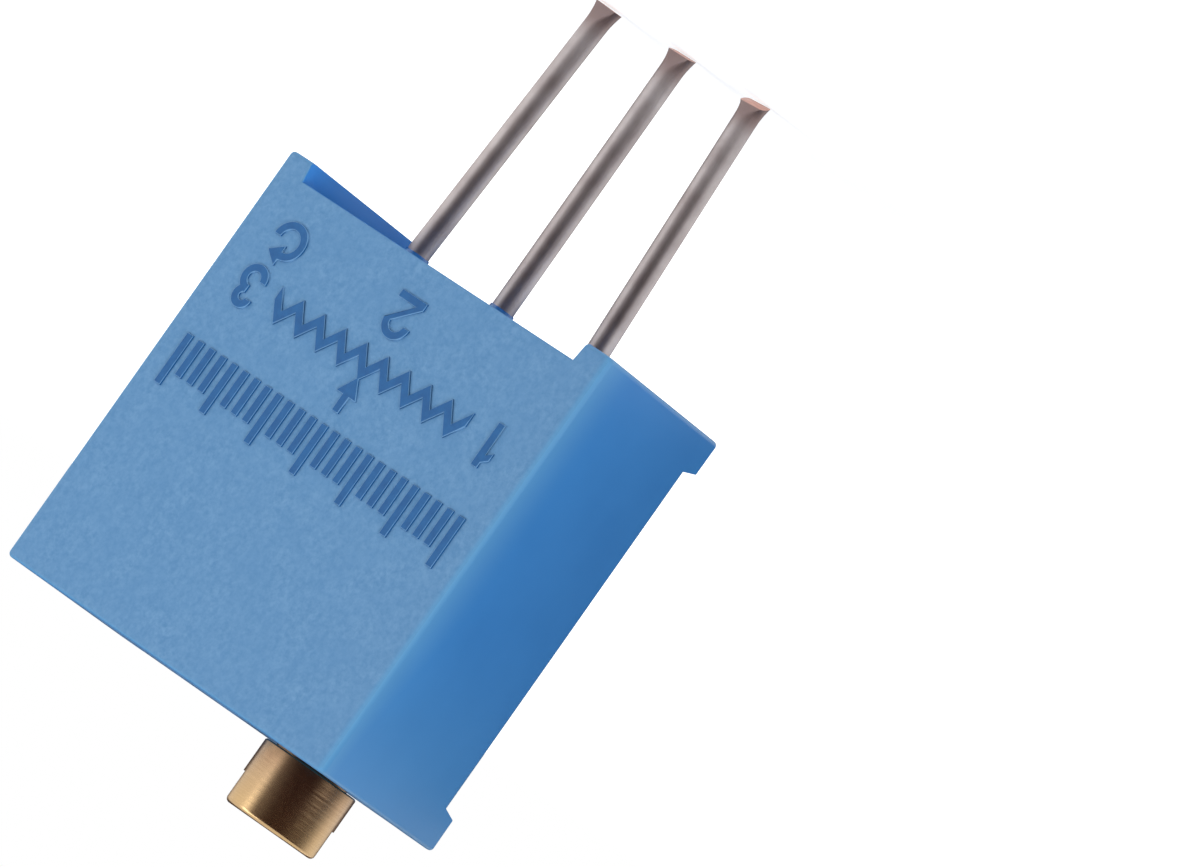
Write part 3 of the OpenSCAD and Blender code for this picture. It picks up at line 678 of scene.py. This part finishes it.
bend_half = 0.02
crop_steps = 7
cropped_slot = 1
for number, lean, slant in ((1, -lead_lean, 0.55), (2, 0.0, 0.25), (3, lead_lean, 0.08)):
    wire = bmesh.new()
    ring = bmesh.ops.create_circle(wire, cap_ends=False, radius=lead_d / 2 - inner_slim,
                                   segments=40)["verts"]
    bmesh.ops.translate(wire, vec=(0, 0, inner_z), verts=ring)
    start = list({e for v in ring for e in v.link_edges})
    # inner end, rolled flat
    verts, edges = draw_on(wire, start, inner_z + roll_step)
    press(verts, inner_w / 2, *inner_y)
    verts, edges = draw_on(wire, edges, inner_top)
    bmesh.ops.contextual_create(wire, geom=edges)
    # round length
    verts, edges = draw_on(wire, start, bend_z + 3 * bend_half)
    full = lead_d / (lead_d - 2 * inner_slim)
    bmesh.ops.scale(wire, vec=(full, full, 1), verts=verts)
    for height in (bend_z + bend_half, bend_z - bend_half, bend_z - 3 * bend_half, -2.0, -4.0,
                   -lead_l + tip_l + 0.05):
        verts, edges = draw_on(wire, edges, height)
    # cropped end: it spreads faster and faster towards the cut, which the shears leave slanted
    last_spread = 1.0
    for k in range(1, crop_steps + 1):
        reach = k / crop_steps
        verts, edges = draw_on(wire, edges, -lead_l + tip_l * (1 - reach))
        spread = 1 + (tip_w / lead_d - 1) * reach ** 1.8
        bmesh.ops.scale(wire, vec=(spread / last_spread, 1, 1), verts=verts)
        last_spread = spread
        half = lead_d / 2 + (tip_t / 2 - lead_d / 2) * reach ** 1.15
        press(verts, 1.0, -half, half)
        for v in verts:
            v.co.z += slant * (half - v.co.y) * reach ** 3
    for face in bmesh.ops.contextual_create(wire, geom=edges)["faces"]:
        face.material_index = cropped_slot
    below = [v for v in wire.verts if v.co.z < bend_z]
    bmesh.ops.rotate(wire, cent=(0, 0, bend_z), verts=below,
                     matrix=Matrix.Rotation(math.radians(lean), 3, "Y"))
    bmesh.ops.remove_doubles(wire, verts=wire.verts, dist=fine_gap)
    bmesh.ops.recalc_face_normals(wire, faces=wire.faces)
    bmesh.ops.translate(wire, vec=((number - 2) * lead_pitch, 0, 0), verts=wire.verts)
    bmesh.ops.scale(wire, vec=(mm, mm, mm), verts=wire.verts)
    make_piece(f"lead_wire_{number}", wire, [tinned_copper, cropped_copper], "body",
               [f"lead_{number}"], smooth=30)

# ---------------------------------------------------------------- solder joints
# Domes of tin-silver solder, reflowed round each lead's flat end on its silver pad. Solder that
# cools slowly frosts over in crystals about a tenth of a millimetre across.
frosted_solder, surface = start_finish("tin-silver solder", Metallic=1.0, Roughness=0.27)
mottle(frosted_solder, surface, 0.3, "#9d9ea2", "#d0d1d3")
cells(frosted_solder, surface, 0.1, unevenness=1.0, depth=0.006, strength=0.4)
for number in (1, 2, 3):
    dress(f"solder_joint_{number}", frosted_solder)

# ---------------------------------------------------------------- end cover
# Small moulded plate pressed in under the carriage's space, so that the resin poured after it
# can't reach the screw or the tracks. Same polyester as the housing.
dress("end_cover", polished_polyester)

# ---------------------------------------------------------------- potting
# Blue epoxy poured into the lead end and cured. It wets the leads and climbs them in a fillet,
# and its free surface is smooth and glossy.

potting_z = 0.55
fillet_r = 0.58
fillet_h = 0.30
fillet_root = 0.01
fillet_rim = 0.02
fillet_lip = 0.004
wire_gap = 0.004
cut_above = 0.002

cast_epoxy, surface = start_finish("cast epoxy", Roughness=0.16, IOR=1.55)
mottle(cast_epoxy, surface, 0.8, "#2a6db3", "#3a80c4", detail=2.0)
relief(cast_epoxy, surface, (0.8, 0.8, 0.8), depth=0.01, strength=0.4)

resin = cad_copy("potting")
cut = bmesh.ops.bisect_plane(resin, geom=resin.verts[:] + resin.edges[:] + resin.faces[:],
                             dist=0.0001 * mm, plane_co=(0, 0, (potting_z + cut_above) * mm),
                             plane_no=(0, 0, 1), clear_inner=True)
rim = [g for g in cut["geom_cut"] if isinstance(g, bmesh.types.BMEdge)]
bmesh.ops.triangle_fill(resin, edges=rim, use_beauty=True, normal=(0, 0, -1))
bmesh.ops.recalc_face_normals(resin, faces=resin.faces)
inner = lead_d / 2 + wire_gap
for number in (1, 2, 3):
    ring = bmesh.new()
    profile = [ring.verts.new((inner, 0, potting_z + fillet_root)),
               ring.verts.new((fillet_r, 0, potting_z + fillet_root))]
    for k in range(11):
        climb = math.radians(9 * k)
        across = (fillet_r - inner - fillet_rim) * math.sin(climb)
        profile.append(ring.verts.new((fillet_r - across, 0,
                                       potting_z - fillet_h * (1 - math.cos(climb)))))
    profile.append(ring.verts.new((inner, 0, potting_z - fillet_h + fillet_lip)))
    edges = [ring.edges.new(pair) for pair in zip(profile, profile[1:] + profile[:1])]
    bmesh.ops.spin(ring, geom=edges, cent=(0, 0, 0), axis=(0, 0, 1), angle=2 * math.pi,
                   steps=48, use_merge=True)
    bmesh.ops.remove_doubles(ring, verts=ring.verts, dist=merge_gap)
    bmesh.ops.recalc_face_normals(ring, faces=ring.faces)
    bmesh.ops.scale(ring, vec=(mm, mm, mm), verts=ring.verts)
    bmesh.ops.translate(ring, vec=((number - 2) * lead_pitch * mm, 0, 0), verts=ring.verts)
    take_in(resin, ring)
resin_fill = make_piece("potting_resin_fill", resin, [cast_epoxy], "body", ["potting"])
for polygon in resin_fill.data.polygons:
    if polygon.normal.z < -squarely:
        polygon.use_smooth = False

# ---------------------------------------------------------------- bench, cards, lamps and camera
# The part stands in the air over a white bench, as if on a pin, with its lead tips just clear.
# The bench is clear when it is looked at from below, so that the lead end can be seen too.

bench_z = -6.13
bench_r = 900


def seen_directly(finish):
    """1 for what the camera sees, straight or in a reflection, and 0 for what only lights."""
    rays = add(finish, "ShaderNodeLightPath", {})
    seen = add(finish, "ShaderNodeMath", {0: rays.outputs["Is Camera Ray"],
                                          1: rays.outputs["Is Glossy Ray"]}, operation="MAXIMUM")
    seen = add(finish, "ShaderNodeMath", {0: seen.outputs["Value"],
                                          1: rays.outputs["Is Transmission Ray"]},
               operation="MAXIMUM")
    return seen.outputs["Value"]


white_bench, surface = start_finish("white bench", Roughness=0.9, Specular_IOR_Level=0.0)
surface.inputs["Base Color"].default_value = colour("#f2f2f2")
place = add(white_bench, "ShaderNodeTexCoord", {}).outputs["Object"]
away = add(white_bench, "ShaderNodeVectorMath", {0: place}, operation="LENGTH")
lift = add(white_bench, "ShaderNodeMapRange",
           {"Value": away.outputs["Value"], "From Min": 8 * mm, "From Max": 30 * mm,
            "To Min": 0.45, "To Max": 1.0})
lift = add(white_bench, "ShaderNodeMath",
           {0: seen_directly(white_bench), 1: lift.outputs["Result"]}, operation="MULTIPLY")
white = add(white_bench, "ShaderNodeEmission",
            {"Color": colour("#ffffff"), "Strength": lift.outputs["Value"]})
blend = add(white_bench, "ShaderNodeAddShader",
            {0: surface.outputs["BSDF"], 1: white.outputs["Emission"]})
under = add(white_bench, "ShaderNodeNewGeometry", {})
clear = add(white_bench, "ShaderNodeBsdfTransparent", {})
blend = add(white_bench, "ShaderNodeMixShader",
            {0: under.outputs["Backfacing"], 1: blend.outputs["Shader"],
             2: clear.outputs["BSDF"]})
feed(white_bench, blend.outputs["Shader"], white_bench.node_tree.nodes["Material Output"],
     "Surface")

bench = bmesh.new()
bmesh.ops.create_circle(bench, cap_ends=True, radius=bench_r * mm, segments=96)
bmesh.ops.translate(bench, vec=(0, 0, bench_z * mm), verts=bench.verts)
make_object("bench", bench, [white_bench])


def set_card(name, skin, finish):
    """A card beside the part that only metal and gloss see."""
    card = make_object(name, skin, [finish])
    card.visible_camera = False
    card.visible_diffuse = False
    card.visible_transmission = False
    card.visible_shadow = False
    return card


def curved_card(name, azimuth, dark_half, clear_half, section):
    """A dark card bent round one side of the part. It is solid for some degrees each side of its
    middle and thins out beyond, so that its reflection has soft sides."""
    finish, surface = start_finish("dark card", Roughness=1.0, Specular_IOR_Level=0.0)
    surface.inputs["Base Color"].default_value = colour("#43302f")
    place = add(finish, "ShaderNodeTexCoord", {}).outputs["Object"]
    level = add(finish, "ShaderNodeVectorMath", {0: place, 1: (1, 1, 0)}, operation="MULTIPLY")
    level = add(finish, "ShaderNodeVectorMath", {0: level.outputs["Vector"]},
                operation="NORMALIZE")
    middle = (math.cos(math.radians(azimuth)), math.sin(math.radians(azimuth)), 0)
    toward = add(finish, "ShaderNodeVectorMath", {0: level.outputs["Vector"], 1: middle},
                 operation="DOT_PRODUCT")
    thick = add(finish, "ShaderNodeMapRange",
                {"Value": toward.outputs["Value"],
                 "From Min": math.cos(math.radians(clear_half)),
                 "From Max": math.cos(math.radians(dark_half))},
                interpolation_type="SMOOTHSTEP")
    clear = add(finish, "ShaderNodeBsdfTransparent", {})
    blend = add(finish, "ShaderNodeMixShader",
                {0: thick.outputs["Result"], 1: clear.outputs["BSDF"],
                 2: surface.outputs["BSDF"]})
    feed(finish, blend.outputs["Shader"], finish.node_tree.nodes["Material Output"], "Surface")
    skin = bmesh.new()
    bends = [skin.verts.new((r * mm, 0, z * mm)) for r, z in section]
    bmesh.ops.spin(skin, geom=[skin.edges.new(pair) for pair in zip(bends, bends[1:])],
                   cent=(0, 0, 0), axis=(0, 0, 1), angle=math.radians(2 * clear_half), steps=36)
    bmesh.ops.rotate(skin, verts=skin.verts, cent=(0, 0, 0),
                     matrix=Matrix.Rotation(math.radians(azimuth - clear_half), 3, "Z"))
    set_card(name, skin, finish)


def flat_card(name, centre, half_sizes, turn, finish):
    skin = bmesh.new()
    bmesh.ops.create_grid(skin, x_segments=1, y_segments=1, size=1)
    bmesh.ops.transform(skin, verts=skin.verts,
                        matrix=Matrix.Translation(Vector(centre) * mm) @ turn
                        @ Matrix.Diagonal((half_sizes[0] * mm, half_sizes[1] * mm, 1, 1)))
    return set_card(name, skin, finish)


# A dark card round the lens gives metal its dark band, one beside it widens the band on the
# screw head, and one behind draws the outlines.
curved_card("lens_card", -115, 37, 62, ((7, -6.1), (120, -6.1), (120, 90)))
curved_card("shoulder_card", -165, 10, 75, ((120, 2), (120, 90)))
curved_card("rear_card", 55, 28, 45, ((7, -6.1), (120, -6.1), (120, 250)))

# A blue card stands where the next part of a row would, and a flag shades the rear of the side.
blue_card, surface = start_finish("blue card", Roughness=1.0, Specular_IOR_Level=0.0)
surface.inputs["Base Color"].default_value = colour("#8fb4e0")
flat_card("neighbour_card", (-10, 4.2, 4.4), (14, 4.9), Matrix.Rotation(math.pi / 2, 4, "X"),
          blue_card)
side_flag = flat_card("side_flag", (-14.8, 3.5, 5), (15, 8.5),
                      Matrix.Rotation(math.pi / 2, 4, "Y"), blue_card)
side_flag.visible_glossy = False
side_flag.visible_shadow = True

aim = Vector((0, -0.2 * mm, 3 * mm))


def hang_lamp(name, side, distance, size, level):
    """A soft square lamp. Its level is the brightness that it alone gives a white card."""
    lamp = bpy.data.lights.new(name, "AREA")
    lamp.size = size
    lamp.energy = level * math.pi ** 2 * distance ** 2
    holder = bpy.data.objects.new(name, lamp)
    toward = Vector(side).normalized()
    holder.matrix_world = (Matrix.Translation(aim + toward * distance)
                           @ toward.to_track_quat("Z", "Y").to_matrix().to_4x4())
    bpy.context.scene.collection.objects.link(holder)
    return holder


hang_lamp("key", (0.35, -0.8, 0.45), 0.30, 0.20, 0.35)
edge_lamp = hang_lamp("edge", (0.94, -0.33, 0.0), 0.30, 0.16, 0.20)
side_fill = hang_lamp("side fill", (-0.9, -0.45, 0.25), 0.30, 0.20, 0.55)
for lamp in (edge_lamp, side_fill):
    lamp.visible_glossy = False
hang_lamp("back", (0.3, 1.0, 0.6), 0.35, 0.25, 0.25)

world = bpy.data.worlds.new("studio")
world.use_nodes = True
bpy.context.scene.world = world
background = world.node_tree.nodes["Background"]
background.inputs["Color"].default_value = colour("#ffffff")
background.inputs["Strength"].default_value = 0.45
white = add(world, "ShaderNodeBackground", {"Color": colour("#ffffff"), "Strength": 1.0})
blend = add(world, "ShaderNodeMixShader",
            {0: seen_directly(world), 1: background.outputs["Background"],
             2: white.outputs["Background"]})
feed(world, blend.outputs["Shader"], world.node_tree.nodes["World Output"], "Surface")

lens = bpy.data.cameras.new("camera")
lens.lens = 372.02
lens.sensor_width = 36
lens.clip_start = 0.01
camera = bpy.data.objects.new("camera", lens)
camera_stand = Vector((-147.076, -202.362, 11.650))
azimuth, elevation, roll = (math.radians(turn) for turn in (-35.313, 2.403, 144.844))
camera.matrix_world = (Matrix.Translation(camera_stand * mm)
                       @ Matrix.Rotation(azimuth, 4, "Z")
                       @ Matrix.Rotation(math.pi / 2 - elevation, 4, "X")
                       @ Matrix.Rotation(-roll, 4, "Z"))
bpy.context.scene.collection.objects.link(camera)
bpy.context.scene.camera = camera
bpy.context.scene.view_settings.view_transform = "Standard"
